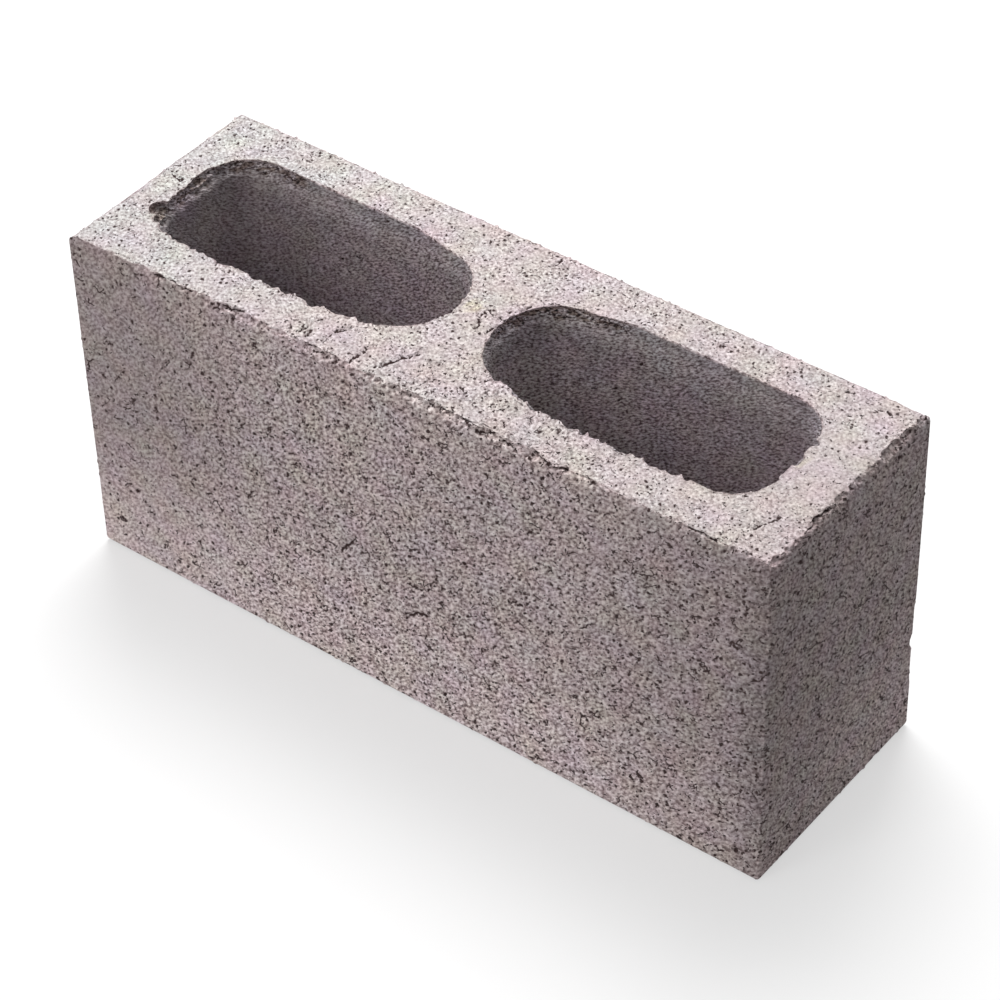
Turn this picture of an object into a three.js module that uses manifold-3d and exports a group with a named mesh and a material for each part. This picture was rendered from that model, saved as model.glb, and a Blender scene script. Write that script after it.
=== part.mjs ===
// A hollow concrete building block: a length of wall 440 mm long and 140 mm thick, one course high,
// cast in one piece around two cores that leave two cells open from top to bottom.
//
// Millimetres, +Z up. The origin is the centre of the block's own outline on its lower face. X runs
// along the wall and Y through it. The block stands as it leaves the mould: the tamped face is up, with
// worn arrises, and the face that lay on the pallet is down, flat and sharp.

import * as THREE from 'three';
import { mergeVertices } from 'three/addons/utils/BufferGeometryUtils.js';
import Module from 'manifold-3d';

// Overall size.
const LENGTH = 440;
const WIDTH = 140;
const HEIGHT = 215;

// Walls, measured at the mouths of the cells on the top face.
const LEFT_END_WALL = 26;
const RIGHT_END_WALL = 34;
const WEB = 29;
const FACE_SHELL = 30.5;

// Plan of a cell: square with round corners at the end wall, rounded like a bow at the web, where the
// face shells thicken to carry it.
const CELL_CORNER_RADIUS = 24;
const BOW_DEPTH = 26;
const SHELL_SWELL = 6.5;
const SWELL_RUN = 30;

// Side of a cell: the core was drawn out upwards, so the cell narrows downwards, and its mouth is
// dragged a little wider.
const CORE_DRAFT = 2;
const MOUTH_DRAG = 1.5;
const MOUTH_DEPTH = 8;

// Wear on the outer edges: the top arrises along the rear and the left end are worn round, and those
// along the front and the right end are nearly as cast.
const WORN_ARRIS_RADIUS = 7;
const FRESH_ARRIS_RADIUS = 3;
const CORNER_RADIUS = 2.5;

// How finely round forms are faceted, and how far a cutter passes the face that it opens.
const ARC_FACETS = 8;
const CORNER_FACETS = 4;
const OVERRUN = 5;

// Broken places: along the end rim of the left cell, deepest at its front corner, and down the lower part
// of the right rear corner. Each is a blunt hollow with its middle on an edge and its own length along X,
// Y and Z, turned about Z.
const LEFT_RIM = -LENGTH / 2 + LEFT_END_WALL;
const SPALLS = [
  { x: LEFT_RIM, y: 7, z: HEIGHT, size: [5, 26, 12], turn: 0.1 },
  { x: LEFT_RIM, y: -24, z: HEIGHT, size: [13, 10, 14], turn: 0.5 },
  { x: LENGTH / 2, y: WIDTH / 2, z: 60, size: [4, 4, 70], turn: 0.8 },
  { x: LENGTH / 2, y: WIDTH / 2, z: 62, size: [7, 7, 12], turn: 0.6 },
];

const wasm = await Module();
wasm.setup();

/** Turns a closed three.js geometry into a solid that can be joined and cut. */
function solidOf(geometry) {
  geometry.deleteAttribute('normal');
  geometry.deleteAttribute('uv');
  const merged = mergeVertices(geometry);
  return new wasm.Manifold(new wasm.Mesh({
    numProp: 3,
    vertProperties: merged.attributes.position.array,
    triVerts: Uint32Array.from(merged.index.array),
  }));
}

/** Turns a solid back into a three.js geometry. */
function geometryOf(solid) {
  const mesh = solid.getMesh();
  const geometry = new THREE.BufferGeometry();
  geometry.setAttribute('position', new THREE.BufferAttribute(mesh.vertProperties, 3));
  geometry.setIndex(new THREE.BufferAttribute(mesh.triVerts, 1));
  geometry.computeVertexNormals();
  return geometry;
}

/** A rectangle about the origin with four round corners. */
function roundedRectangle(length, width, radius) {
  const x = length / 2 - radius;
  const y = width / 2 - radius;
  const shape = new THREE.Shape();
  shape.absarc(x, y, radius, 0, Math.PI / 2);
  shape.absarc(-x, y, radius, Math.PI / 2, Math.PI);
  shape.absarc(-x, -y, radius, Math.PI, 1.5 * Math.PI);
  shape.absarc(x, -y, radius, 1.5 * Math.PI, 2 * Math.PI);
  return shape;
}

/** The upright profile of a block: square at the foot, with a round corner on each side of its top. */
function uprightProfile(span, height, minusRadius, plusRadius) {
  const shape = new THREE.Shape();
  shape.moveTo(-span / 2, 0);
  shape.lineTo(span / 2, 0);
  shape.absarc(span / 2 - plusRadius, height - plusRadius, plusRadius, 0, Math.PI / 2);
  shape.absarc(minusRadius - span / 2, height - minusRadius, minusRadius, Math.PI / 2, Math.PI);
  return shape;
}

/** Extrudes a shape straight up from z = 0. */
function extrude(shape, depth, facets) {
  return new THREE.ExtrudeGeometry(shape, { depth, bevelEnabled: false, curveSegments: facets });
}

/** The block's outside: its plan, its side profile and its end profile, each run right through. */
function outside() {
  const plan = extrude(roundedRectangle(LENGTH, WIDTH, CORNER_RADIUS), HEIGHT, CORNER_FACETS);

  const sideProfile = uprightProfile(LENGTH, HEIGHT, WORN_ARRIS_RADIUS, FRESH_ARRIS_RADIUS);
  const side = extrude(sideProfile, WIDTH, CORNER_FACETS);
  side.translate(0, 0, -WIDTH / 2);
  side.rotateX(Math.PI / 2);

  const endProfile = uprightProfile(WIDTH, HEIGHT, FRESH_ARRIS_RADIUS, WORN_ARRIS_RADIUS);
  const end = extrude(endProfile, LENGTH, CORNER_FACETS);
  end.translate(0, 0, -LENGTH / 2);
  end.rotateX(Math.PI / 2);
  end.rotateZ(Math.PI / 2);

  return solidOf(plan).intersect(solidOf(side)).intersect(solidOf(end));
}

// Both cells are alike and share what the walls leave.
const CELL_LENGTH = (LENGTH - LEFT_END_WALL - WEB - RIGHT_END_WALL) / 2;
const CELL_HALF_WIDTH = WIDTH / 2 - FACE_SHELL;

/** A cell's mouth in plan, with its bow at x = 0 and its square end at x = CELL_LENGTH. */
function cellPlan() {
  const bowHalfWidth = CELL_HALF_WIDTH - SHELL_SWELL;
  const cornerX = CELL_LENGTH - CELL_CORNER_RADIUS;
  const cornerY = CELL_HALF_WIDTH - CELL_CORNER_RADIUS;
  const shape = new THREE.Shape();
  shape.absellipse(BOW_DEPTH, 0, BOW_DEPTH, bowHalfWidth, Math.PI / 2, 1.5 * Math.PI);
  shape.lineTo(BOW_DEPTH + SWELL_RUN, -CELL_HALF_WIDTH);
  shape.absarc(cornerX, -cornerY, CELL_CORNER_RADIUS, -Math.PI / 2, 0);
  shape.absarc(cornerX, cornerY, CELL_CORNER_RADIUS, 0, Math.PI / 2);
  shape.lineTo(BOW_DEPTH + SWELL_RUN, CELL_HALF_WIDTH);
  return shape;
}

/** A cell's plan run between two levels, drawn in on every side by each level's own inset. */
function drafted(low, high) {
  const geometry = extrude(cellPlan(), high.z - low.z, ARC_FACETS);
  geometry.translate(-CELL_LENGTH / 2, 0, low.z);
  const middle = (low.z + high.z) / 2;
  const position = geometry.attributes.position;
  for (let i = 0; i < position.count; i += 1) {
    const { inset } = position.getZ(i) < middle ? low : high;
    position.setX(i, position.getX(i) * (1 - inset / (CELL_LENGTH / 2)));
    position.setY(i, position.getY(i) * (1 - inset / CELL_HALF_WIDTH));
  }
  return geometry.translate(CELL_LENGTH / 2, 0, 0);
}

/** The core that leaves a cell: a long drafted shaft with a short dragged mouth on top. */
function core() {
  const draftPerMm = CORE_DRAFT / (HEIGHT - MOUTH_DEPTH);
  const dragPerMm = MOUTH_DRAG / MOUTH_DEPTH;
  const mouthFoot = HEIGHT - MOUTH_DEPTH;
  const shaft = drafted(
    { z: -OVERRUN, inset: MOUTH_DRAG + CORE_DRAFT + OVERRUN * draftPerMm },
    { z: mouthFoot, inset: MOUTH_DRAG },
  );
  const mouth = drafted(
    { z: mouthFoot, inset: MOUTH_DRAG },
    { z: HEIGHT + OVERRUN, inset: -OVERRUN * dragPerMm },
  );
  return solidOf(shaft).add(solidOf(mouth));
}

/** The hollow that a lump leaves where it has broken away. */
function spall({ x, y, z, size, turn }) {
  const lump = new THREE.IcosahedronGeometry(0.5, 1);
  lump.scale(...size);
  lump.rotateZ(turn);
  lump.translate(x, y, z);
  return solidOf(lump);
}

/** The whole block. */
function blockGeometry() {
  const leftWebFace = LEFT_RIM + CELL_LENGTH;
  const rightWebFace = leftWebFace + WEB;
  const rightCore = core().translate(rightWebFace, 0, 0);
  const leftCore = core().rotate(0, 0, 180).translate(leftWebFace, 0, 0);
  let block = outside().subtract(rightCore).subtract(leftCore);
  for (const place of SPALLS) {
    block = block.subtract(spall(place));
  }
  return geometryOf(block);
}

const concrete = new THREE.MeshStandardMaterial({
  color: 0xb4a6a4,
  roughness: 0.95,
  metalness: 0,
});

const hollowBlock = new THREE.Mesh(blockGeometry(), concrete);
hollowBlock.name = 'hollow_block';

const part = new THREE.Group();
part.add(hollowBlock);

export default part;
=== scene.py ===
"""A hollow concrete building block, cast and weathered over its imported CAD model, on a plain pale floor.

The block is modelled again at its CAD size, its surface is worn, pitted and roughened inwards from the
mould's planes, and it gets one procedural material. Everything is in metres, in the frame of the CAD.
"""

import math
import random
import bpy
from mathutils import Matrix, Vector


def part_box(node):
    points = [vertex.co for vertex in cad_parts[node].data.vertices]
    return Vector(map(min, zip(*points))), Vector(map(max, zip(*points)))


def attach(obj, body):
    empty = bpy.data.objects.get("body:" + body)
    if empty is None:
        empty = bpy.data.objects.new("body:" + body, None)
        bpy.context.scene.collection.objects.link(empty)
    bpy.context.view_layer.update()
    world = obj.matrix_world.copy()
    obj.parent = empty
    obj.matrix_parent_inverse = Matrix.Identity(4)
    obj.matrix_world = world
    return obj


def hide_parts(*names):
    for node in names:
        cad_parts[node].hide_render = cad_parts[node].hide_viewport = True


bl_info = {
    "name": "Hollow Concrete Block",
    "version": (1, 0, 0),
    "blender": (4, 5, 0),
    "location": "View3D > Sidebar > Block",
    "description": "Casts and weathers a hollow concrete building block and sets it in a plain studio",
    "category": "Add Mesh",
}

from types import SimpleNamespace

import bmesh
import bpy
from bpy.props import FloatProperty, FloatVectorProperty, IntProperty, PointerProperty
from mathutils import Euler, Matrix, Vector

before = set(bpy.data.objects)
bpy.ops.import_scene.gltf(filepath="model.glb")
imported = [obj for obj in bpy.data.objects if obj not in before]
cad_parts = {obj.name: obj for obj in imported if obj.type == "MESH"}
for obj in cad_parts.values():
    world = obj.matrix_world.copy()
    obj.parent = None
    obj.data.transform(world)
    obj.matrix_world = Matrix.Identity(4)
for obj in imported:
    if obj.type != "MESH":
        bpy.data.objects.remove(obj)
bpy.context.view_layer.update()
NODE = "hollow_block"
LOW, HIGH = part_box(NODE)

MM = 0.001
LENGTH = HIGH[0] - LOW[0]
WIDTH = HIGH[1] - LOW[1]
HEIGHT = HIGH[2] - LOW[2]

# A length below all that matters, and one beyond every part of the block.
TINY = 0.01 * MM
FAR_OFF = 1.0

# Broken places, as in the CAD: each with its middle on an edge, its lengths along X, Y and Z in
# millimetres, and its turn about Z.
LEFT_END_WALL = 26
LEFT_RIM = LOW[0] + LEFT_END_WALL * MM
SPALLS = (
    ((LEFT_RIM, 7 * MM, HEIGHT), (5, 26, 12), 0.1),
    ((LEFT_RIM, -24 * MM, HEIGHT), (13, 10, 14), 0.5),
    ((HIGH[0], HIGH[1], 60 * MM), (4, 4, 70), 0.8),
    ((HIGH[0], HIGH[1], 62 * MM), (7, 7, 12), 0.6),
)

# Edges with small chips out of them: the line, the spacing of the chips and the largest one, in millimetres.
CHIPPED = (
    (((220, -67, 215), (220, 66, 215)), 4.5, 9),
    (((-212, -70, 215), (-130, -70, 215)), 6, 6.5),
    (((-130, -70, 215), (95, -70, 215)), 4.5, 8.5),
    (((95, -70, 215), (216, -70, 215)), 5.5, 6.5),
    (((220, -70, 30), (220, -70, 205)), 12, 4),
    (((-182, -34, 215), (-170, -39, 215), (-74, -39, 215), (-45, -33, 215), (-27, -22, 215)), 5, 9),
    (((-197, -27, 215), (-188, -33, 215)), 3, 6),
    (((-27, -22, 215), (-20, -9, 215), (-19, 6, 215)), 5, 6),
    (((19, -22, 215), (36, -33, 215), (66, -39, 215), (162, -39, 215), (179, -32, 215)), 5, 9),
    (((36, 33, 215), (19, 22, 215), (12, 9, 215), (11, -4, 215), (19, -22, 215)), 5.5, 5),
    (((179, -32, 215), (186, -15, 215), (186, 20, 215)), 4.5, 7),
    (((-194, -28, 215), (-194, 16, 215), (-188, 30, 215), (-172, 38, 215), (-150, 39, 215)), 4, 6),
    (((-170, 39, 215), (-74, 39, 215), (-45, 33, 215)), 9, 3.5),
    (((36, 33, 215), (66, 39, 215), (162, 39, 215)), 9, 3.5),
)

# The rims that the cores tore: middle and reach in plan, in millimetres, and the depth of the band.
TORN_RIMS = ((-183, 12, 50), (30, 24, 38))
TORN_DEPTH = 8.5 * MM

# Yellowish stones that show on the top face: middle, and reach from there, in millimetres.
STONES = (((188.5, 0, 214), 4.5), ((-11, 5, 214), 6))

# The middle of the smoothest part of the tamped face, on the right end wall, in millimetres.
SMOOTH_SPOT = (203, 5, 215)

# The slant in which the grains of the concrete lie.
BEDDING = (math.radians(49), 0, math.radians(38))

# The heavier wear on the front arris: its middle along X, and how far it reaches from there.
BRUISE_X = -15 * MM
BRUISE_HALF_LENGTH = 115 * MM

# The middle of the lumpier part of the tamped face, along its front.
LUMPY_X = 60 * MM

# The longer crevices, as lines through points in millimetres: across the top face, along its front and right
# arrises, on the rear wall of the left cell, and on the front and the right end.
CREVICES = (
    ((-56, -60, 215), (-54, -52, 215), (-50, -44, 215)),
    ((-63, -64, 215), (-66, -57, 215)),
    ((-71, -68, 215), (-69, -56, 215)),
    ((-72, -63, 215), (-76, -59, 215)),
    ((-34, -70, 215), (-34, -59, 215), (-33, -51, 215)),
    ((-22, -62, 215), (-14, -48, 215), (-10, -42, 215)),
    ((-13, -68, 215), (-1, -68, 215)),
    ((15, -70, 215), (15, -63, 215)),
    ((23, -70, 214), (30, -70, 214)),
    ((46, -70, 209), (55, -70, 213)),
    ((62, -70, 211), (72, -70, 209)),
    ((79, -70, 212), (88, -70, 211)),
    ((90, -70, 211), (101, -70, 212)),
    ((91, -70, 208), (94, -70, 202)),
    ((187, 44, 215), (189, 45, 215)),
    ((196, 56, 215), (200, 55, 215)),
    ((0, -8, 215), (1, -4, 215), (-4, 0, 215), (-5, 5, 215), (-3, 8.5, 215), (2, 5, 215), (13, 6, 215)),
    ((7, -8, 215), (8, -3, 215), (11, 1, 215), (14, 5, 215)),
    ((11, 14, 215), (13, 18, 215), (14, 23, 215)),
    ((2.5, 57, 215), (2.5, 63, 215)),
    ((197, -52, 215), (202, -37, 215)),
    ((-212, 3, 215), (-203, 1, 215)),
    ((178, 58, 215), (182, 58, 215)),
    ((190, 57, 215), (193, 58, 215)),
    ((202, 57, 215), (205, 56, 215)),
    ((-169, 64, 215), (-166, 65, 215)),
    ((-161, -70, 212.5), (-150, -70, 214), (-135, -70, 213.5)),
    ((-114, -70, 213), (-102, -70, 214)),
    ((-60, -70, 213.5), (-53, -70, 213)),
    ((36, -70, 213), (46, -70, 214)),
    ((173, -70, 214), (187, -70, 213)),
    ((220, -36, 214), (220, -18, 213)),
    ((-45, -70, 83), (-34, -70, 96)),
    ((-154, 37.5, 199), (-151, 37.5, 200)),
    ((-123, 37.5, 184), (-115, 37.5, 185.5)),
    ((-117, 38, 178), (-111, 38, 178)),
    ((-125, 38, 166), (-121, 38, 163)),
    ((-119, 38, 156), (-115, 38, 153)),
    ((-3, -70, 61), (12, -70, 69)),
    ((6, -70, 84), (16, -70, 88)),
    ((220, -64, 74), (220, -61, 78)),
)

# What the relief keeps at each vertex for the material, by name.
MARKS = ("torn", "inside", "tamped", "from_crevice", "tone", "stony", "lumpy", "smooth")


def linear(hex_colour):
    """An sRGB hex colour as linear red, green, blue and alpha."""
    channels = [int(hex_colour[i : i + 2], 16) / 255 for i in (1, 3, 5)]
    return [c / 12.92 if c <= 0.04045 else ((c + 0.055) / 1.055) ** 2.4 for c in channels] + [1.0]


# ------------------------------------------------- settings


def size_property(name, millimetres, description):
    """A length that a user may change, with its default given in millimetres."""
    return FloatProperty(
        name=name,
        description=description,
        default=millimetres * MM,
        min=0.0,
        unit="LENGTH",
        subtype="DISTANCE",
    )


def colour_property(name, hex_colour, description):
    """A colour that a user may change, with its default given in sRGB hex."""
    return FloatVectorProperty(
        name=name,
        description=description,
        default=linear(hex_colour),
        min=0.0,
        max=1.0,
        size=4,
        subtype="COLOR",
    )


class BlockSizes(bpy.types.PropertyGroup):
    """The block's walls, cells and edges, as its mould and its handling leave them."""

    left_end_wall: size_property("Left end wall", LEFT_END_WALL, "Thickness at the mouth of the cell")
    right_end_wall: size_property("Right end wall", 34, "Thickness at the mouth of the cell")
    web: size_property("Web", 29, "Thickness of the wall between the cells, at their mouths")
    face_shell: size_property("Face shell", 30.5, "Thickness of the long walls, at the mouths")
    cell_corner: size_property("Cell corner", 24, "Radius of a cell's corners at the end wall")
    bow_depth: size_property("Bow depth", 26, "How far a cell's rounded end reaches from the web")
    shell_swell: size_property("Shell swell", 6.5, "How much each shell thickens at the web")
    swell_run: size_property("Swell run", 30, "Length over which a shell thickens")
    core_draft: size_property("Core draft", 2, "How much a cell narrows on each side to its foot")
    mouth_drag: size_property("Mouth drag", 1.5, "How much a cell's mouth is dragged wider")
    mouth_depth: size_property("Mouth depth", 8, "Depth of the dragged mouth")
    worn_arris: size_property("Worn arris", 7, "Radius of the top edges at the rear and the left end")
    fresh_arris: size_property("Fresh arris", 3, "Radius of the top edges at the front and the right end")
    corner: size_property("Corner", 2.5, "Radius of the upright corners")


class BlockSurface(bpy.types.PropertyGroup):
    """The relief and the colours of the concrete."""

    mesh_step: size_property("Mesh step", 1.0, "Spacing of the mesh that the relief is cut into")
    triangles: IntProperty(
        name="Triangles",
        description="Most triangles that the finished block may have",
        default=197000,
        min=1000,
    )
    waviness: size_property("Waviness", 0.2, "How far a face may lie behind its mould")
    lump: size_property("Lump", 4.8, "Width of the lumps that the creases part")
    lump_relief: size_property("Lump relief", 0.6, "Depth of the creases, least on the sides")
    boss: size_property("Boss", 6.5, "Width of the lumps that stand out of a worn edge")
    rim_wear: size_property("Rim wear", 0.4, "Depth of the wear on the front rims of the cells")
    arris_wear: size_property("Arris wear", 1.0, "Depth of the wear on the fresh top edges")
    bruise: size_property("Bruise", 1.4, "Depth of the heavier wear in the middle of the front arris")
    corner_wear: size_property("Corner wear", 1.3, "Depth of the wear on the right front corner")
    ledge: size_property("Ledge", 1.8, "Width of the ledge under the torn parts of the cell rims")
    pit: size_property("Pit", 1.5, "Depth of the larger pits")
    cement: colour_property("Cement", "#B5A5A5", "Dry cement skin")
    chalk: colour_property("Chalk", "#B3ADAC", "Pale laitance in patches on the tamped face")
    smear: colour_property("Smear", "#B9ADB0", "Cement smeared over the walls of the cells")
    torn: colour_property("Torn", "#8F7E79", "Damp-looking torn concrete under the rims")
    # The hollow colour is painted shade in the pores and crevices.
    hollow: colour_property("Hollow", "#2C1817", "Depth of the pores and crevices")
    stone: colour_property("Stone", "#B6AD9D", "Yellowish stones that show here and there")


class StudioSettings(bpy.types.PropertyGroup):
    """The floor and the light."""

    floor: colour_property("Floor", "#F2F2F2", "Pale plain floor")
    key: FloatProperty(
        name="Key",
        description="Power of the soft lamp above and behind",
        default=45.0,
        min=0.0,
        unit="POWER",
    )
    fill: FloatProperty(
        name="Fill",
        description="Power of the low soft lamp in front",
        default=15.2,
        min=0.0,
        unit="POWER",
    )
    sky: FloatProperty(
        name="Sky",
        description="Strength of the even light from all round",
        default=0.38,
        min=0.0,
        subtype="FACTOR",
    )


# --------------------------------------------- mesh helpers


def activate(obj):
    """Leaves only this object selected and active."""
    bpy.ops.object.select_all(action="DESELECT")
    obj.select_set(True)
    bpy.context.view_layer.objects.active = obj


def select(obj, kind, test):
    """In edit mode, selects the vertices, edges or faces that pass a test."""
    bpy.ops.mesh.select_mode(type=kind)
    bpy.ops.mesh.select_all(action="DESELECT")
    mesh = bmesh.from_edit_mesh(obj.data)
    for element in {"VERT": mesh.verts, "EDGE": mesh.edges, "FACE": mesh.faces}[kind]:
        element.select_set(test(element))
    mesh.select_flush_mode()
    bmesh.update_edit_mesh(obj.data)


def resize(scale, centre):
    """In edit mode, scales what is selected about a point."""
    bpy.ops.transform.resize(value=scale, center_override=centre)


def apply_modifier(obj, kind, settings):
    """Adds a modifier with these settings and applies it."""
    activate(obj)
    modifier = obj.modifiers.new(kind.title(), kind)
    for name, value in settings.items():
        setattr(modifier, name, value)
    bpy.ops.object.modifier_apply(modifier=modifier.name)


def node(tree, kind, inputs=None, **settings):
    """Adds a node, makes its settings, and fills its inputs with values, other nodes or their outputs."""
    made = tree.nodes.new(kind)
    for name, value in settings.items():
        setattr(made, name, value)
    for key, value in (inputs or {}).items():
        if isinstance(value, bpy.types.Node):
            value = value.outputs[0]
        if isinstance(value, bpy.types.NodeSocket):
            tree.links.new(value, made.inputs[key])
        else:
            made.inputs[key].default_value = value
    return made


# ------------------------------------------- the cast block


def round_edges(obj, radius, chosen):
    """In edit mode, rounds the edges whose two ends are chosen."""
    select(obj, "EDGE", lambda edge: all(chosen(vertex.co) for vertex in edge.verts))
    bpy.ops.mesh.bevel(offset=radius, segments=4, affect="EDGES")


def model_outside(sizes):
    """The block's outside: a cuboid with its top edges and its upright corners rounded."""
    top = HEIGHT - TINY
    end = LENGTH / 2 - TINY
    side = WIDTH / 2 - TINY
    bpy.ops.object.select_all(action="DESELECT")
    bpy.ops.mesh.primitive_cube_add(size=1, location=(0, 0, HEIGHT / 2))
    block = bpy.context.object
    block.name = "cast_block"
    block.data.name = "cast_block"
    bpy.ops.transform.resize(value=(LENGTH, WIDTH, HEIGHT))
    bpy.ops.object.transform_apply(location=True, rotation=True, scale=True)
    bpy.ops.object.mode_set(mode="EDIT")
    round_edges(block, sizes.worn_arris, lambda p: p.z > top and (p.y > side or p.x < -end))
    round_edges(block, sizes.fresh_arris, lambda p: p.z > top and (p.y < -side or p.x > end))
    round_edges(block, sizes.corner, lambda p: abs(p.x) > end and abs(p.y) > side)
    bpy.ops.object.mode_set(mode="OBJECT")
    return block


def cell_length(sizes):
    """The length that the walls leave to each cell."""
    return (LENGTH - sizes.left_end_wall - sizes.web - sizes.right_end_wall) / 2


def model_core(sizes):
    """The core of one cell, with its bow at x = 0, as tall as the block and a little more."""
    length = cell_length(sizes)
    half_width = WIDTH / 2 - sizes.face_shell
    bow = sizes.bow_depth
    overrun = 5 * MM
    mouth_foot = HEIGHT - sizes.mouth_depth

    bpy.ops.object.select_all(action="DESELECT")
    bpy.ops.mesh.primitive_plane_add(size=1, location=(length / 2, 0, -overrun))
    core = bpy.context.object
    core.name = "core"
    bpy.ops.transform.resize(value=(length, 2 * half_width, 1))
    bpy.ops.object.transform_apply(location=True, rotation=True, scale=True)
    bpy.ops.object.mode_set(mode="EDIT")

    # The plan: cut across where the bow and the swell end, with the bow's corners rounded into one arc.
    for x in (bow, bow + sizes.swell_run):
        bpy.ops.mesh.select_all(action="SELECT")
        bpy.ops.mesh.bisect(plane_co=(x, 0, 0), plane_no=(1, 0, 0))
    select(core, "VERT", lambda vertex: vertex.co.x < bow + TINY)
    resize((1, bow / half_width, 1), (0, 0, 0))
    select(core, "VERT", lambda vertex: vertex.co.x < TINY)
    bpy.ops.mesh.bevel(offset=bow, segments=12, affect="VERTICES")
    select(core, "VERT", lambda vertex: vertex.co.x < bow + TINY)
    resize((1, (half_width - sizes.shell_swell) / bow, 1), (0, 0, 0))
    select(core, "VERT", lambda vertex: vertex.co.x > length - TINY)
    bpy.ops.mesh.bevel(offset=sizes.cell_corner, segments=8, affect="VERTICES")
    bpy.ops.mesh.select_all(action="SELECT")
    bpy.ops.mesh.remove_doubles(threshold=TINY)
    bpy.ops.mesh.dissolve_faces()

    # The height: a drafted shaft with a wider mouth on it.
    for rise in (mouth_foot + overrun, sizes.mouth_depth + overrun):
        bpy.ops.mesh.extrude_region_move(TRANSFORM_OT_translate={"value": (0, 0, rise)})
    draft = sizes.core_draft / mouth_foot
    drag = sizes.mouth_drag / sizes.mouth_depth
    insets = {
        -overrun: sizes.mouth_drag + draft * (mouth_foot + overrun),
        mouth_foot: sizes.mouth_drag,
        HEIGHT + overrun: -drag * overrun,
    }
    for z, inset in insets.items():
        select(core, "VERT", lambda vertex: abs(vertex.co.z - z) < TINY)
        resize((1 - inset / (length / 2), 1 - inset / half_width, 1), (length / 2, 0, 0))
    bpy.ops.mesh.select_all(action="SELECT")
    bpy.ops.mesh.normals_make_consistent(inside=False)
    bpy.ops.object.mode_set(mode="OBJECT")
    return core


def place_cores(sizes):
    """Both cores where they stand in the mould, the left one a mirrored copy of the right one."""
    left_web_face = -LENGTH / 2 + sizes.left_end_wall + cell_length(sizes)
    right_web_face = left_web_face + sizes.web
    right = model_core(sizes)
    bpy.ops.object.mode_set(mode="EDIT")
    bpy.ops.mesh.select_all(action="SELECT")
    bpy.ops.transform.translate(value=(right_web_face, 0, 0))
    bpy.ops.object.mode_set(mode="OBJECT")
    bpy.ops.object.duplicate()
    left = bpy.context.object
    bpy.ops.object.mode_set(mode="EDIT")
    bpy.ops.mesh.select_all(action="SELECT")
    resize((-1, 1, 1), ((left_web_face + right_web_face) / 2, 0, 0))
    bpy.ops.mesh.normals_make_consistent(inside=False)
    bpy.ops.object.mode_set(mode="OBJECT")
    return [left, right]


def model_lump(place, size, turn, subdivisions=2):
    """A blunt lump with its own length along X, Y and Z, to be broken out of the block."""
    bpy.ops.object.select_all(action="DESELECT")
    bpy.ops.mesh.primitive_ico_sphere_add(subdivisions=subdivisions, radius=0.5, location=place)
    lump = bpy.context.object
    bpy.ops.transform.resize(value=[length * MM for length in size])
    lump.rotation_euler = (0, 0, turn)
    bpy.ops.object.transform_apply(location=True, rotation=True, scale=True)
    return lump


def model_chips():
    """Angular lumps, tall ones, strewn at random along the chipped edges, as one cutter."""
    chance = random.Random(4)
    tallness = 2.0
    lumps = []
    for line, spacing, largest in CHIPPED:
        for start, end in zip(line, line[1:]):
            start = Vector(start) * MM
            end = Vector(end) * MM
            for _ in range(round((end - start).length / (spacing * MM))):
                size = [largest * chance.uniform(0.4, 1.0) for _ in range(3)]
                size[2] *= tallness
                place = start.lerp(end, chance.random())
                lumps.append(model_lump(place, size, chance.uniform(0, math.pi), subdivisions=1))
    activate(lumps[0])
    for lump in lumps:
        lump.select_set(True)
    bpy.ops.object.join()
    return lumps[0]


def copy_rims(block):
    """The outlines of the cells' mouths, as loose edges at the top of the block."""
    edge_room = 15 * MM
    far_x = LENGTH / 2 - edge_room
    far_y = WIDTH / 2 - edge_room
    activate(block)
    bpy.ops.object.mode_set(mode="EDIT")
    select(block, "FACE", lambda face: face.calc_center_median().z > HEIGHT - TINY)
    bpy.ops.mesh.region_to_loop()
    bpy.ops.mesh.duplicate()
    bpy.ops.mesh.separate(type="SELECTED")
    bpy.ops.object.mode_set(mode="OBJECT")
    rims = next(obj for obj in bpy.context.selected_objects if obj != block)
    activate(rims)
    bpy.ops.object.mode_set(mode="EDIT")
    select(rims, "VERT", lambda vertex: abs(vertex.co.x) > far_x or abs(vertex.co.y) > far_y)
    bpy.ops.mesh.delete(type="VERT")
    bpy.ops.object.mode_set(mode="OBJECT")
    return rims


# ---------------- patterns, for the relief and the material
#
# The relief and the material share them, so that the hollow and the colour of a pit fall in one place.


def fade(tree, value, near, far):
    """1 up to the near value, falling smoothly to 0 at the far one. It rises where far is the lesser."""
    return node(
        tree,
        "ShaderNodeMapRange",
        {"Value": value, "From Min": near, "From Max": far, "To Min": 1.0, "To Max": 0.0},
        interpolation_type="SMOOTHSTEP",
    )


def around(tree, position, spot, near, far):
    """1 within the near distance of a spot, falling smoothly to 0 at the far one."""
    away = node(tree, "ShaderNodeVectorMath", {0: position, 1: spot}, operation="DISTANCE")
    return fade(tree, away.outputs["Value"], near, far)


def overlap(tree, share, *others):
    """What these shares have in common, as their product."""
    for other in others:
        share = node(tree, "ShaderNodeMath", {0: share, 1: other}, operation="MULTIPLY")
    return share


def greatest(tree, value, *others):
    """The greatest of these values."""
    for other in others:
        value = node(tree, "ShaderNodeMath", {0: value, 1: other}, operation="MAXIMUM")
    return value


def adjusted(tree, value, *changes):
    """A value after these changes, each of them a share and how much it adds where the share is 1."""
    for share, change in changes:
        value = node(tree, "ShaderNodeMath", {0: share, 1: change, 2: value}, operation="MULTIPLY_ADD")
    return value


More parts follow.
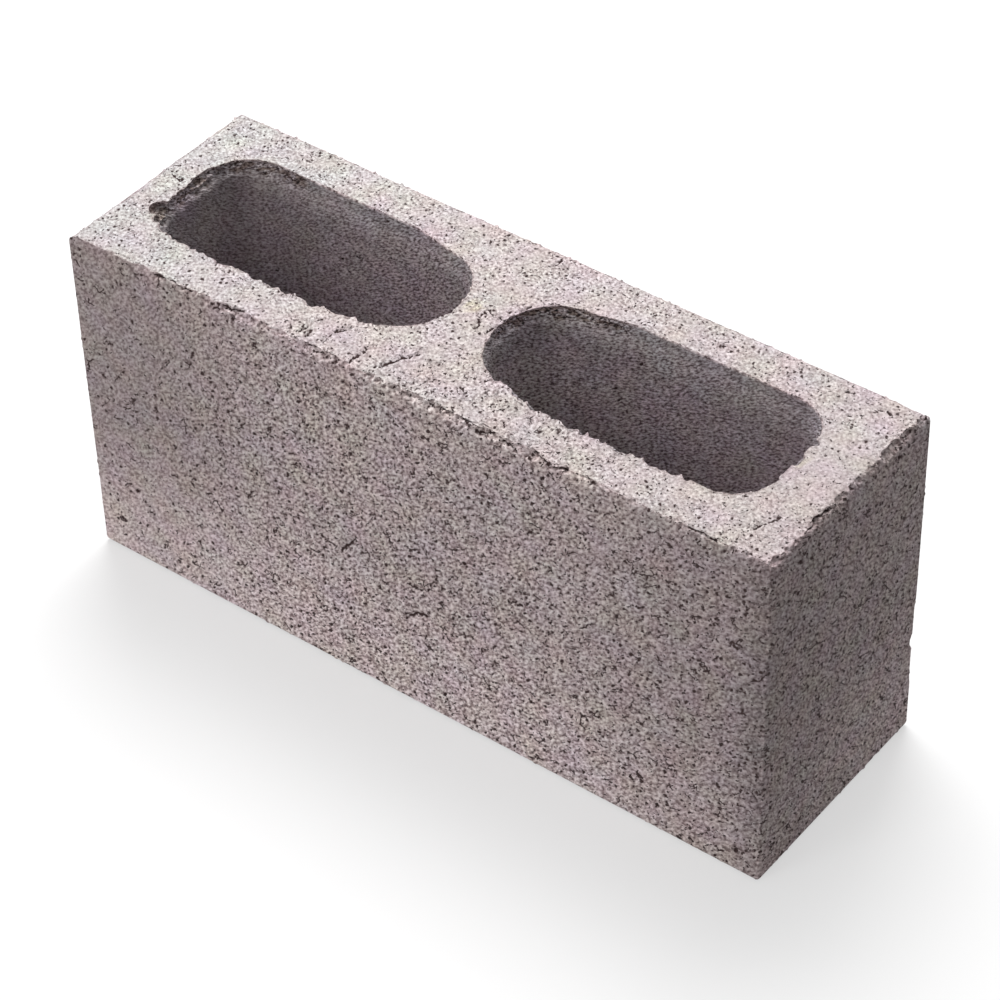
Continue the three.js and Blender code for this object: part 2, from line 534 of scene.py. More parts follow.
def bedded(tree, position, inside, tamped):
    """The position along the slant in which the grains lie, so scaled that they come out long and flat.

    Inside the cells, where the cores smear them, they come out flatter, and on the tamped face finer.
    """
    aslant = node(
        tree,
        "ShaderNodeVectorRotate",
        {"Vector": position, "Rotation": BEDDING},
        rotation_type="EULER_XYZ",
        invert=True,
    )
    within = node(tree, "ShaderNodeMath", {0: inside, 1: 0.5}, operation="GREATER_THAN")
    flatness = adjusted(tree, 1.15, (within, 0.85))
    on_top = node(tree, "ShaderNodeMath", {0: tamped, 1: 0.5}, operation="GREATER_THAN")
    fineness = adjusted(tree, 1.0, (on_top, 0.25))
    scale = node(tree, "ShaderNodeCombineXYZ", {"X": 1.0, "Y": flatness, "Z": 0.55})
    scaled = node(tree, "ShaderNodeVectorMath", {0: aslant, 1: scale}, operation="MULTIPLY")
    return node(tree, "ShaderNodeVectorMath", {0: scaled, "Scale": fineness}, operation="SCALE")


def sand(tree, bed):
    """The coarser sand, as a value and as three, with grains about 2 mm apart. Finer ones don't show."""
    return node(
        tree, "ShaderNodeTexNoise", {"Vector": bed, "Scale": 1 / (1.8 * MM), "Detail": 1.0, "Roughness": 0.5}
    )


def bent(tree, place, noise, bend=2.2 * MM):
    """A place, bent by a noise, so that a pattern's edges come out uneven."""
    shift = node(
        tree, "ShaderNodeVectorMath", {0: noise.outputs["Color"], 1: (0.5, 0.5, 0.5)}, operation="SUBTRACT"
    )
    return node(
        tree, "ShaderNodeVectorMath", {0: shift, 1: (bend, bend, bend), 2: place}, operation="MULTIPLY_ADD"
    )


def pits(tree, place, spacing, radius, share):
    """Pits strewn at a spacing, 1 in their middle and 0 outside, in a share of the places."""
    cells = node(tree, "ShaderNodeTexVoronoi", {"Vector": place, "Scale": 1 / spacing})
    lot = node(tree, "ShaderNodeSeparateXYZ", {0: cells.outputs["Color"]}).outputs["X"]
    present = node(tree, "ShaderNodeMath", {0: lot, 1: share}, operation="LESS_THAN")
    hole = fade(tree, cells.outputs["Distance"], 0.5 * radius / spacing, radius / spacing)
    return overlap(tree, hole, present)


def large_pits(tree, place):
    """The larger pits, deep enough to show in the relief."""
    return pits(tree, place, 13 * MM, 1.7 * MM, 0.35)


def seams(tree, place, crumbly):
    """Short bent gaps round parts of the larger lumps, 1 in their middle, most where it is crumbly."""
    edge = node(
        tree, "ShaderNodeTexVoronoi", {"Vector": place, "Scale": 1 / (7.5 * MM)}, feature="DISTANCE_TO_EDGE"
    ).outputs["Distance"]
    here = node(tree, "ShaderNodeTexNoise", {"Vector": place, "Scale": 1 / (6 * MM), "Detail": 0.0})
    opened = fade(tree, adjusted(tree, here, (crumbly, 0.03)), 0.72, 0.66)
    return overlap(tree, fade(tree, edge, 0.02, 0.08), opened)


def from_crevice(tree, position, start, end):
    """How far a point lies from the line of one crevice, both of whose ends are given in millimetres."""
    start = Vector(start) * MM
    along = Vector(end) * MM - start
    offset = node(tree, "ShaderNodeVectorMath", {0: position, 1: start}, operation="SUBTRACT")
    share = node(
        tree,
        "ShaderNodeVectorMath",
        {0: offset, 1: along / along.length_squared},
        operation="DOT_PRODUCT",
    ).outputs["Value"]
    share = node(tree, "ShaderNodeClamp", {0: share})
    nearest = node(tree, "ShaderNodeVectorMath", {0: along, "Scale": share}, operation="SCALE")
    return node(tree, "ShaderNodeVectorMath", {0: offset, 1: nearest}, operation="DISTANCE").outputs["Value"]


def from_crevices(tree, place):
    """How far a point lies from the nearest of the longer crevices."""
    nearest = FAR_OFF
    for line in CREVICES:
        for start, end in zip(line, line[1:]):
            one = from_crevice(tree, place, start, end)
            nearest = node(tree, "ShaderNodeMath", {0: nearest, 1: one}, operation="MINIMUM")
    return nearest


# ----------------------------------------------- the relief


def measured(tree, rims):
    """Where a point of the surface lies, how it faces, and how far it is from the top and the edges."""
    position = node(tree, "GeometryNodeInputPosition")
    normal = node(tree, "GeometryNodeInputNormal")
    place = node(tree, "ShaderNodeSeparateXYZ", {0: position}).outputs
    facing = node(tree, "ShaderNodeSeparateXYZ", {0: normal}).outputs
    under_top = node(tree, "ShaderNodeMath", {0: HEIGHT, 1: place["Z"]}, operation="SUBTRACT")
    out_x = node(tree, "ShaderNodeMath", {0: place["X"]}, operation="ABSOLUTE")
    out_y = node(tree, "ShaderNodeMath", {0: place["Y"]}, operation="ABSOLUTE")
    from_end = node(tree, "ShaderNodeMath", {0: LENGTH / 2, 1: out_x}, operation="SUBTRACT")
    from_side = node(tree, "ShaderNodeMath", {0: WIDTH / 2, 1: out_y}, operation="SUBTRACT")
    from_outside = node(tree, "ShaderNodeMath", {0: from_end, 1: from_side}, operation="MINIMUM")
    from_right = node(tree, "ShaderNodeMath", {0: LENGTH / 2, 1: place["X"]}, operation="SUBTRACT")
    from_front = node(tree, "ShaderNodeMath", {0: place["Y"], 1: WIDTH / 2}, operation="ADD")
    rim_lines = node(tree, "GeometryNodeObjectInfo", {"Object": rims}).outputs["Geometry"]
    from_rim = node(
        tree, "GeometryNodeProximity", {0: rim_lines, "Source Position": position}, target_element="EDGES"
    ).outputs["Distance"]
    return SimpleNamespace(
        position=position,
        normal=normal,
        x=place["X"],
        y=place["Y"],
        z=place["Z"],
        rightward=facing["X"],
        upward=facing["Z"],
        under_top=under_top,
        from_outside=from_outside,
        from_arris=greatest(tree, from_outside, under_top),
        from_rim=from_rim,
        from_right=from_right,
        from_front=from_front,
        from_corner=greatest(tree, from_right, from_front),
    )


def off_middle(tree, coordinate, middle):
    """How far a coordinate lies from a middle, on either side."""
    offset = node(tree, "ShaderNodeMath", {0: coordinate, 1: middle}, operation="SUBTRACT")
    return node(tree, "ShaderNodeMath", {0: offset}, operation="ABSOLUTE")


def torn_bands(tree, at):
    """The bands under the rims that the cores tore as they were drawn, ragged along their feet."""
    level = node(tree, "ShaderNodeVectorMath", {0: at.position, 1: (1, 1, 0)}, operation="MULTIPLY")
    rough = node(tree, "ShaderNodeTexNoise", {"Vector": level, "Scale": 1 / (7 * MM), "Detail": 1.0})
    reach_down = 2.5 * MM
    ragged = node(
        tree,
        "ShaderNodeMapRange",
        {"Value": rough, "From Min": 0.3, "From Max": 0.7, "To Min": reach_down, "To Max": -reach_down},
    )
    depth = node(tree, "ShaderNodeMath", {0: at.under_top, 1: ragged}, operation="ADD")
    above_foot = fade(tree, depth, TORN_DEPTH - 0.5 * MM, TORN_DEPTH + 0.5 * MM)
    below_rim = fade(tree, at.under_top, 1.6 * MM, 0.6 * MM)
    rims = (
        around(tree, level, (x * MM, y * MM, 0), 0.75 * reach * MM, reach * MM) for x, y, reach in TORN_RIMS
    )
    return overlap(tree, greatest(tree, 0.0, *rims), overlap(tree, above_foot, below_rim))


def worn_places(tree, at):
    """Where each kind of wear lies, and what the concrete is like there, as shares from 0 to 1."""
    # The walls of the cells, the tamped face, and what lies just under it.
    inside = overlap(
        tree, fade(tree, at.from_outside, 24 * MM, 20 * MM), fade(tree, at.under_top, 3 * MM, 1 * MM)
    )
    tamped = overlap(tree, fade(tree, at.under_top, 1 * MM, 3 * MM), fade(tree, at.upward, 0.9, 0.6))
    top = fade(tree, at.under_top, 2 * MM, 8 * MM)

    # The edges: the front halves of the rims, the top arrises, the fresher ones of them, the bruise on the
    # front one, and the right front corner down to near its foot.
    front = node(tree, "ShaderNodeMath", {0: at.y, 1: 0.0}, operation="LESS_THAN")
    rim = overlap(tree, fade(tree, at.from_rim, -4 * MM, 4 * MM), fade(tree, at.y, 0.0, 25 * MM))
    arris = fade(tree, at.from_arris, -8 * MM, 8 * MM)
    fresh = greatest(tree, front, fade(tree, at.from_right, 10 * MM, 20 * MM))
    bruise = overlap(
        tree,
        fade(tree, off_middle(tree, at.x, BRUISE_X), 0.5 * BRUISE_HALF_LENGTH, BRUISE_HALF_LENGTH),
        front,
        fade(tree, at.from_arris, -14 * MM, 14 * MM),
    )
    corner = overlap(tree, fade(tree, at.from_corner, -8 * MM, 8 * MM), fade(tree, at.z, 45 * MM, 10 * MM))

    # The torn bands, and the ledges that they leave along the walls of the cells.
    torn = overlap(tree, torn_bands(tree, at), fade(tree, at.from_outside, 20 * MM, 16 * MM))
    steepness = node(tree, "ShaderNodeMath", {0: at.upward}, operation="ABSOLUTE")
    ledge = overlap(tree, fade(tree, steepness, 0.5, 0.75), inside, torn)

    # Parts of the tamped face.
    smooth = overlap(tree, tamped, around(tree, at.position, Vector(SMOOTH_SPOT) * MM, 20 * MM, 40 * MM))
    lumpy = overlap(
        tree,
        fade(tree, off_middle(tree, at.x, LUMPY_X), 40 * MM, 90 * MM),
        fade(tree, at.y, -50 * MM, -30 * MM),
        top,
    )
    stones = (
        around(tree, at.position, Vector(spot) * MM, 0.6 * reach * MM, reach * MM) for spot, reach in STONES
    )
    return SimpleNamespace(
        inside=inside,
        tamped=tamped,
        top=top,
        rim=rim,
        arris=arris,
        fresh_arris=overlap(tree, arris, fresh),
        bruise=bruise,
        corner=corner,
        torn=torn,
        ledge=ledge,
        smooth=smooth,
        lumpy=lumpy,
        stony=greatest(tree, 0.0, *stones),
    )


def from_winding_crevices(tree, at, tamped, grit, rough):
    """How far a point lies from the nearest crevice, when they wind along the faces that they lie in.

    A worn edge counts as still in the plane of its face, so that a crevice runs on down to it.
    """
    edge = 8 * MM
    winding = bent(tree, bent(tree, at.position, grit), rough, 6 * MM)
    wound = node(tree, "ShaderNodeSeparateXYZ", {0: winding}).outputs
    by_front = node(tree, "ShaderNodeMath", {0: at.from_front, 1: edge}, operation="LESS_THAN")
    by_right = node(tree, "ShaderNodeMath", {0: at.from_right, 1: edge}, operation="LESS_THAN")
    flat_x = node(tree, "ShaderNodeMix", {0: by_right, 2: wound["X"], 3: LENGTH / 2}, data_type="FLOAT")
    flat_y = node(tree, "ShaderNodeMix", {0: by_front, 2: wound["Y"], 3: -WIDTH / 2}, data_type="FLOAT")
    flat_z = node(tree, "ShaderNodeMix", {0: tamped, 2: wound["Z"], 3: HEIGHT}, data_type="FLOAT")
    return from_crevices(tree, node(tree, "ShaderNodeCombineXYZ", {"X": flat_x, "Y": flat_y, "Z": flat_z}))


def summed(tree, total, depths):
    """A depth with further depths added to it, each of them given with its share and its pattern."""
    changes = ((overlap(tree, share, pattern), depth) for share, pattern, depth in depths)
    return adjusted(tree, total, *changes)


def relief(tree, at, wear, surface, uneven, rough):
    """How deep a point is sunk behind its mould's plane. Only the broad wear is evened out."""
    wave = node(tree, "ShaderNodeTexNoise", {"Vector": at.position, "Scale": 1 / (28 * MM), "Detail": 1.0})
    lumps = node(
        tree,
        "ShaderNodeTexVoronoi",
        {
            "Vector": at.position,
            "Scale": 1 / surface.lump,
            "Smoothness": 0.25,
            "Detail": 1.0,
            "Roughness": 0.5,
        },
        feature="SMOOTH_F1",
    ).outputs["Distance"]
    crease = fade(tree, lumps, 0.60, 0.15)
    bosses = node(
        tree,
        "ShaderNodeTexVoronoi",
        {"Vector": at.position, "Scale": 1 / surface.boss, "Smoothness": 0.4},
        feature="SMOOTH_F1",
    ).outputs["Distance"]
    notch = fade(tree, bosses, 0.60, 0.10)
    ragged = fade(tree, rough, 0.68, 0.32)
    crevice = fade(tree, wear.from_crevice, 0.3 * MM, 1.3 * MM)
    uneven_top = node(tree, "ShaderNodeMath", {0: wear.tamped, 1: wear.smooth}, operation="SUBTRACT")
    broad_depths = (
        (1.0, wave, surface.waviness),
        (wear.rim, notch, 2 * surface.rim_wear),
        (wear.arris, ragged, 0.8 * surface.arris_wear),
        (wear.fresh_arris, notch, 2 * surface.arris_wear),
        (wear.bruise, ragged, 2 * surface.bruise),
        (wear.corner, ragged, 2 * surface.corner_wear),
        (wear.corner, 0.4, 2 * surface.corner_wear),
        (wear.ledge, 1.0, surface.ledge),
        (wear.ledge, ragged, surface.ledge),
    )
    fine_depths = (
        (1.0, crease, surface.lump_relief),
        (wear.top, crease, surface.lump_relief),
        (wear.lumpy, crease, 2 * surface.lump_relief),
        (uneven_top, crease, surface.lump_relief),
        (wear.torn, crease, 2 * surface.lump_relief),
        (wear.lumpy, seams(tree, uneven, wear.lumpy), surface.pit),
        (1.0, large_pits(tree, uneven), surface.pit),
        (1.0, crevice, surface.pit),
    )
    broad = summed(tree, 0.0, broad_depths)
    evened = node(tree, "GeometryNodeBlurAttribute", {"Value": broad, "Iterations": 2}, data_type="FLOAT")
    return summed(tree, evened, fine_depths)


def tone_with_painted_shade(tree, at, wear):
    """The concrete's paler or darker tone as a factor, mostly painted light and shade; 1 on the tamped face.
    """
    # Painted light, paler towards the foot where the floor would throw light up, and painted shade round the
    # middle of the left front corner. Darker, too, towards the right front corner, less so on the right end.
    painted_light_at_foot = adjusted(tree, 0.94, (fade(tree, at.z, 0.0, 110 * MM), 0.36))
    off_end = fade(tree, at.rightward, 0.2, 0.7)
    corner_darkening = adjusted(tree, -0.12, (off_end, -0.1))
    corner = adjusted(tree, 1.0, (fade(tree, at.from_corner, 10 * MM, 130 * MM), corner_darkening))
    edge = adjusted(tree, 1.0, (overlap(tree, off_end, fade(tree, at.from_corner, 3 * MM, 25 * MM)), -0.25))
    left_spot = (-LENGTH / 2, -WIDTH / 2, 0.7 * HEIGHT)
    left = adjusted(tree, 1.0, (around(tree, at.position, left_spot, 40 * MM, 170 * MM), -0.28))

    # In the cells the walls get painted shade at the left ends, on the slope of the mouth, a little below
    # it, and again low down, with a little painted light over all of them.
    sound = node(tree, "ShaderNodeMath", {0: 1.0, 1: wear.torn}, operation="SUBTRACT")
    wall = overlap(tree, wear.inside, sound)
    left_end = adjusted(tree, 1.0, (overlap(tree, wall, fade(tree, at.rightward, 0.95, 0.3)), -0.3))
    sloping = adjusted(tree, 1.0, (overlap(tree, wall, fade(tree, at.upward, 0.18, 0.06)), -0.35))
    high = overlap(tree, wall, fade(tree, at.under_top, 15 * MM, 32 * MM))
    low = overlap(tree, wall, fade(tree, at.under_top, 100 * MM, 45 * MM))
    downwards = adjusted(tree, 1.0, (high, -0.25), (low, -0.33), (wall, 0.12))

    # All but the darkening towards the right front corner is painted light and painted shade.
    tone = overlap(tree, painted_light_at_foot, corner, edge, left, left_end, sloping, downwards)
    return node(tree, "ShaderNodeMix", {0: wear.tamped, 2: tone, 3: 1.0}, data_type="FLOAT")


def weather(block, rims, surface):
    """Sinks the block's fine mesh behind its mould's planes: lumps, worn edges, torn rims and pits."""
    tree = bpy.data.node_groups.new("Weathered concrete", "GeometryNodeTree")
    tree.interface.new_socket("Geometry", in_out="INPUT", socket_type="NodeSocketGeometry")
    tree.interface.new_socket("Geometry", in_out="OUTPUT", socket_type="NodeSocketGeometry")
    mesh = node(
        tree, "GeometryNodeMergeByDistance", {"Geometry": node(tree, "NodeGroupInput"), "Distance": 0.3 * MM}
    )
    at = measured(tree, rims)
    wear = worn_places(tree, at)
    bed = bedded(tree, at.position, wear.inside, wear.tamped)
    grit = sand(tree, bed)
    rough = node(
        tree,
        "ShaderNodeTexNoise",
        {"Vector": at.position, "Scale": 1 / (9 * MM), "Detail": 1.0, "Roughness": 0.5},
    )
    wear.from_crevice = from_winding_crevices(tree, at, wear.tamped, grit, rough)
    # The tone holds painted light and painted shade, kept at each vertex for the material.
    wear.tone = tone_with_painted_shade(tree, at, wear)
    depth = relief(tree, at, wear, surface, bent(tree, bed, grit), rough)

    # What the material follows is kept at each vertex, before the relief moves it.
    for name in MARKS:
        mesh = node(
            tree,
            "GeometryNodeStoreNamedAttribute",
            {"Geometry": mesh, "Name": name, "Value": getattr(wear, name)},
            data_type="FLOAT",
            domain="POINT",
        )
    evened = node(
        tree, "GeometryNodeBlurAttribute", {"Value": at.normal, "Iterations": 25}, data_type="FLOAT_VECTOR"
    )
    outwards = node(tree, "ShaderNodeVectorMath", {0: evened}, operation="NORMALIZE")
    inwards = node(tree, "ShaderNodeMath", {0: depth, 1: -1.0}, operation="MULTIPLY")
    offset = node(tree, "ShaderNodeVectorMath", {0: outwards, "Scale": inwards}, operation="SCALE")
    worn = node(tree, "GeometryNodeSetPosition", {"Geometry": mesh, "Offset": offset})
    node(tree, "NodeGroupOutput", {0: worn})
    apply_modifier(block, "NODES", {"node_group": tree})


def thin_out(block, most):
    """Collapses the fine mesh where it is flattest, until it has no more triangles than asked for."""
    count = sum(len(face.vertices) - 2 for face in block.data.polygons)
    if count > most:
        apply_modifier(block, "DECIMATE", {"ratio": most / count})


# --------------------------------------------- the material


def read_marks(tree, position):
    """What the relief has kept at each vertex, with the shares that the material works out from it."""
    mark = SimpleNamespace()
    for name in MARKS:
        setattr(mark, name, node(tree, "ShaderNodeAttribute", attribute_name=name).outputs["Fac"])
    mark.along = node(tree, "ShaderNodeSeparateXYZ", {0: position}).outputs["X"]
    mark.right = fade(tree, mark.along, 180 * MM, 60 * MM)
    mark.walled = node(
        tree, "ShaderNodeMath", {0: mark.inside, 1: mark.torn}, operation="SUBTRACT", use_clamp=True
    )

    # The concrete is calmer, with fewer pores open, towards the left end and in patches of the tamped face.
    patch = node(tree, "ShaderNodeTexNoise", {"Vector": position, "Scale": 1 / (16 * MM), "Detail": 0.0})
    closed = overlap(tree, mark.tamped, 0.6, fade(tree, patch, 0.40, 0.58))
    sides = adjusted(tree, 1.0, (mark.tamped, -0.7))
    left = overlap(tree, sides, fade(tree, mark.along, -200 * MM, -60 * MM))
    mark.calm = greatest(tree, left, closed, mark.smooth)
    return mark


def pores(tree, mark, grit):
    """Pores about 1 mm wide, where the sand has not closed. Few are open inside the cells."""
    lot = node(tree, "ShaderNodeSeparateXYZ", {0: grit.outputs["Color"]}).outputs["Z"]
    lot = adjusted(tree, lot, (mark.calm, 0.04))
    return overlap(tree, fade(tree, lot, 0.30, 0.35), adjusted(tree, 1.0, (mark.walled, -0.85)))


def open_places(tree, mark, grit, uneven, pore):
    """All that goes deep and gets painted shade, 1 where it is deepest: pores, specks, pits, seams, crevices.
    """
    level = node(tree, "ShaderNodeMath", {0: mark.tamped, 1: mark.lumpy}, operation="SUBTRACT")
    sealed = greatest(tree, mark.walled, level)
    crumbly = adjusted(tree, mark.lumpy, (mark.torn, 4.0), (mark.right, 0.7))
    gaps = overlap(tree, seams(tree, uneven, crumbly), adjusted(tree, 1.0, (sealed, -0.8)))
    jagged = adjusted(tree, mark.from_crevice, (grit, 1.6 * MM))
    crevice = fade(tree, jagged, 1.2 * MM, 1.8 * MM)
    share = adjusted(tree, 0.55, (mark.calm, -0.3))
    specks = overlap(
        tree, pits(tree, uneven, 4.2 * MM, 1.35 * MM, share), adjusted(tree, 1.0, (mark.walled, -0.7))
    )
    return greatest(tree, pore, specks, large_pits(tree, uneven), gaps, crevice)


def grain_tones(tree, mark, grit):
    """The sand's own tones, evener on the tamped face and where it is calm, and a little redder if dark."""
    speckle = node(
        tree,
        "ShaderNodeMapRange",
        {"Value": grit, "From Min": 0.3, "From Max": 0.7, "To Min": -0.7, "To Max": 0.7},
    )
    even = greatest(tree, mark.calm, overlap(tree, mark.right, 0.5))
    contrast = adjusted(tree, 1.0, (even, -0.3), (mark.tamped, -0.3), (mark.walled, 0.15), (mark.torn, 0.6))
    tone = adjusted(tree, 1.0, (speckle, contrast))
    less = node(tree, "ShaderNodeMath", {0: tone, 1: 1.12}, operation="POWER")
    return node(tree, "ShaderNodeCombineXYZ", {"X": tone, "Y": less, "Z": less})


def skin_colour(tree, mark, surface, position):
    """The colour of the cement skin, and of what takes its place in the cells, on top and where torn."""
    # Laitance greys the tamped face, most of all towards the left end.
    dusty = node(
        tree,
        "ShaderNodeMapRange",
        {"Value": mark.along, "From Min": -60 * MM, "From Max": -160 * MM, "To Min": 0.45, "To Max": 1.0},
    )
    # Torn parts show the layers in which the concrete was filled in, some of them pale.
    layers = node(tree, "ShaderNodeVectorMath", {0: position, 1: (130, 130, 480)}, operation="MULTIPLY")
    layer = node(tree, "ShaderNodeTexNoise", {"Vector": layers, "Scale": 1.0, "Detail": 2.0})
    changes = (
        (mark.inside, surface.smear),
        (overlap(tree, mark.tamped, dusty), surface.chalk),
        (overlap(tree, mark.torn, fade(tree, layer, 0.56, 0.46)), surface.torn),
        (mark.stony, surface.stone),
    )
    skin = list(surface.cement)
    for share, other in changes:
        skin = node(tree, "ShaderNodeMix", {0: share, 6: skin, 7: list(other)}, data_type="RGBA").outputs[2]

    # Slow changes of hue over the faces: pinkish, greenish and purplish greys.
    hue = node(tree, "ShaderNodeTexNoise", {"Vector": position, "Scale": 1 / (15 * MM), "Detail": 0.0})
    drift = node(
        tree,
        "ShaderNodeVectorMath",
        {0: hue.outputs["Color"], 1: (0.08, 0.13, 0.14), 2: (0.96, 0.935, 0.93)},
        operation="MULTIPLY_ADD",
    )
    return node(tree, "ShaderNodeVectorMath", {0: skin, 1: drift}, operation="MULTIPLY")


def bump_height(tree, mark, grit, uneven, pore):
    """Sand grains with pores between them, and lumps about 3 mm wide on top, at the right and where torn."""
    cells = node(tree, "ShaderNodeTexVoronoi", {"Vector": uneven, "Scale": 1 / (3.2 * MM)})
    rough = greatest(tree, mark.tamped, mark.lumpy, mark.right)
    standing = adjusted(tree, mark.torn, (rough, 0.4))
    lump = overlap(tree, standing, fade(tree, cells.outputs["Distance"], 0.3, 0.8))
    grain = overlap(tree, grit, adjusted(tree, 1.0, (mark.tamped, -0.4)))
    return adjusted(tree, grain, (pore, -1.0), (lump, 1.0))


def pressed_concrete(surface):
    """Dry-pressed dense concrete: quite matt, sandy, open-pored, with painted shade where a pore goes deep.
    """
    material = bpy.data.materials.new("dry_pressed_concrete")
    material.use_nodes = True
    tree = material.node_tree
    tree.nodes.clear()
    position = node(tree, "ShaderNodeTexCoord").outputs["Object"]
    mark = read_marks(tree, position)
    bed = bedded(tree, position, mark.inside, mark.tamped)
    grit = sand(tree, bed)
    uneven = bent(tree, bed, grit)
    pore = pores(tree, mark, grit)

    skin = skin_colour(tree, mark, surface, position)
    grainy = node(
        tree, "ShaderNodeVectorMath", {0: skin, 1: grain_tones(tree, mark, grit)}, operation="MULTIPLY"
    )
    # The stored tone scales the colour with painted light and painted shade.
    toned = node(tree, "ShaderNodeVectorMath", {0: grainy, "Scale": mark.tone}, operation="SCALE")
    dark = open_places(tree, mark, grit, uneven, pore)
    # The hollow colour paints shade into the pores, specks, pits, seams and crevices.
    colour = node(
        tree, "ShaderNodeMix", {0: dark, 6: toned, 7: list(surface.hollow)}, data_type="RGBA"
    ).outputs[2]
    height = bump_height(tree, mark, grit, uneven, pore)
    bump = node(tree, "ShaderNodeBump", {"Height": height, "Strength": 0.9, "Distance": 1.1 * MM})
    shader = node(
        tree,
        "ShaderNodeBsdfPrincipled",
        {"Base Color": colour, "Roughness": 0.93, "IOR": 1.5, "Normal": bump},
    )
    node(tree, "ShaderNodeOutputMaterial", {"Surface": shader})
    return material


# ------------------------------------------------ operators


class BLOCK_OT_cast(bpy.types.Operator):
    """Casts the block round its two cores, wears and pits its surface, and finishes it in concrete"""

    bl_idname = "block.cast"
    bl_label = "Cast the block"

    def execute(self, context):
        sizes = context.scene.block_sizes
        surface = context.scene.block_surface
        block = model_outside(sizes)
        for cutter in place_cores(sizes) + [model_lump(*spall) for spall in SPALLS]:
            apply_modifier(block, "BOOLEAN", {"operation": "DIFFERENCE", "object": cutter, "solver": "EXACT"})
            bpy.data.objects.remove(cutter)
        rims = copy_rims(block)
        chips = model_chips()
        chipping = {"operation": "DIFFERENCE", "object": chips, "solver": "EXACT", "use_self": True}
        apply_modifier(block, "BOOLEAN", chipping)
        bpy.data.objects.remove(chips)
        apply_modifier(block, "REMESH", {"mode": "VOXEL", "voxel_size": surface.mesh_step})
        weather(block, rims, surface)
        bpy.data.objects.remove(rims)
        thin_out(block, surface.triangles)
        activate(block)
        bpy.ops.object.shade_smooth()
        block.data.materials.clear()
        block.data.materials.append(pressed_concrete(surface))
        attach(block, "root")
        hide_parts(NODE)
        return {"FINISHED"}


class BLOCK_OT_stage(bpy.types.Operator):
    """Lays the pale floor, hangs the soft lamps and sets up the camera"""

    bl_idname = "block.stage"
    bl_label = "Set the stage"

    def execute(self, context):
        studio = context.scene.block_studio
        lay_floor(studio)
        light_sky(studio)
        hang_lamp("key_lamp", direction=(-0.25, 0.38, 1.0), distance=1.9, size=1.1, power=studio.key)
        hang_lamp("fill_lamp", direction=(-0.27, -1.0, 0.17), distance=1.9, size=0.7, power=studio.fill)
        set_camera()
        context.scene.view_settings.view_transform = "Standard"
        return {"FINISHED"}


def seen_directly(tree):
    """1 for what the camera sees, also in a mirror or through glass, and 0 for what only lights the block."""
    ray = node(tree, "ShaderNodeLightPath").outputs
    return greatest(tree, ray["Is Camera Ray"], ray["Is Glossy Ray"], ray["Is Transmission Ray"])


def lay_floor(studio):
    """A wide plain floor. It looks pale to the camera and throws little light back up at the block."""
    bpy.ops.object.select_all(action="DESELECT")
    bpy.ops.mesh.primitive_plane_add(size=12, location=(0, 0, -0.2 * MM))
    floor = bpy.context.object
    floor.name = "floor"
    bpy.ops.object.transform_apply(location=True, rotation=True, scale=True)
    material = bpy.data.materials.new("matt_paper")
    material.use_nodes = True
    tree = material.node_tree
    tree.nodes.clear()
    seen = seen_directly(tree)
    colour = node(
        tree, "ShaderNodeMix", {0: seen, 6: linear("#808080"), 7: list(studio.floor)}, data_type="RGBA"
    ).outputs[2]
    paper = node(tree, "ShaderNodeBsdfDiffuse", {"Color": colour})
    glow = node(tree, "ShaderNodeEmission", {"Color": linear("#FFFFFF"), "Strength": 1.0})
    shader = node(tree, "ShaderNodeMixShader", {0: overlap(tree, seen, 0.55), 1: paper, 2: glow})
    node(tree, "ShaderNodeOutputMaterial", {"Surface": shader})
    floor.data.materials.append(material)


def light_sky(studio):
    """Even light from all round, with a white background for the camera."""
    world = bpy.data.worlds.new("studio")
    bpy.context.scene.world = world
    world.use_nodes = True
    tree = world.node_tree
    tree.nodes.clear()
    seen = seen_directly(tree)
    even = node(tree, "ShaderNodeBackground", {"Color": linear("#FFFFFF"), "Strength": studio.sky})
    white = node(tree, "ShaderNodeBackground", {"Color": linear("#FFFFFF"), "Strength": 1.0})
    shader = node(tree, "ShaderNodeMixShader", {0: seen, 1: even, 2: white})
    node(tree, "ShaderNodeOutputWorld", {"Surface": shader})


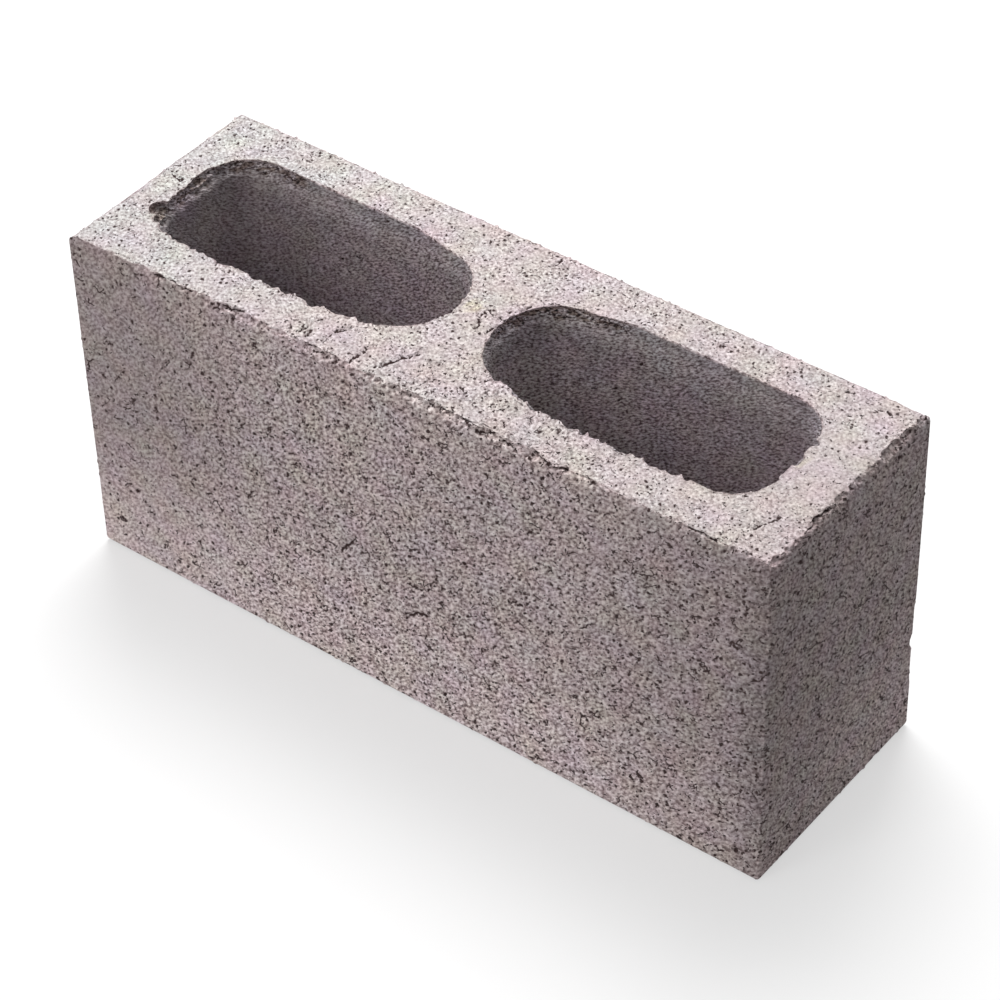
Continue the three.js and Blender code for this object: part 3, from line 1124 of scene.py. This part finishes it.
def hang_lamp(name, direction, distance, size, power):
    """A square soft lamp that faces the block from a direction."""
    aim = Vector((0, 0, HEIGHT / 2))
    data = bpy.data.lights.new(name, "AREA")
    data.size = size
    data.energy = power
    lamp = bpy.data.objects.new(name, data)
    bpy.context.collection.objects.link(lamp)
    towards = Vector(direction).normalized()
    lamp.location = aim + towards * distance
    lamp.rotation_euler = towards.to_track_quat("Z", "Y").to_euler()


def set_camera():
    """The camera looks down on the block's front and right end, from its right."""
    azimuth, elevation, roll = (math.radians(angle) for angle in (38.31, 41.21, -1.58))
    distance = 1.857
    aim = Vector((-0.0241, 0.0393, 0.0526))
    turn = Euler((math.pi / 2 - elevation, 0, azimuth)).to_matrix() @ Matrix.Rotation(roll, 3, "Z")
    data = bpy.data.cameras.new("camera")
    data.sensor_width = 36
    data.lens = 123.4
    camera = bpy.data.objects.new("camera", data)
    bpy.context.collection.objects.link(camera)
    camera.matrix_world = Matrix.Translation(aim + turn @ Vector((0, 0, distance))) @ turn.to_4x4()
    bpy.context.scene.camera = camera


class BLOCK_PT_panel(bpy.types.Panel):
    """Lists the steps of the block and what can be changed"""

    bl_idname = "BLOCK_PT_panel"
    bl_label = "Hollow concrete block"
    bl_space_type = "VIEW_3D"
    bl_region_type = "UI"
    bl_category = "Block"

    def draw(self, context):
        for group in (context.scene.block_sizes, context.scene.block_surface, context.scene.block_studio):
            box = self.layout.box()
            for name in group.__annotations__:
                box.prop(group, name)
        self.layout.operator(BLOCK_OT_cast.bl_idname)
        self.layout.operator(BLOCK_OT_stage.bl_idname)


CLASSES = (BlockSizes, BlockSurface, StudioSettings, BLOCK_OT_cast, BLOCK_OT_stage, BLOCK_PT_panel)


def register():
    """Makes the settings, the operators and the panel known."""
    for kind in CLASSES:
        bpy.utils.register_class(kind)
    bpy.types.Scene.block_sizes = PointerProperty(type=BlockSizes)
    bpy.types.Scene.block_surface = PointerProperty(type=BlockSurface)
    bpy.types.Scene.block_studio = PointerProperty(type=StudioSettings)


def unregister():
    """Forgets them again."""
    del bpy.types.Scene.block_studio
    del bpy.types.Scene.block_surface
    del bpy.types.Scene.block_sizes
    for kind in reversed(CLASSES):
        bpy.utils.unregister_class(kind)


def main():
    """Builds the block and its stage."""
    register()
    bpy.ops.block.cast()
    bpy.ops.block.stage()


if __name__ == "__main__":
    main()
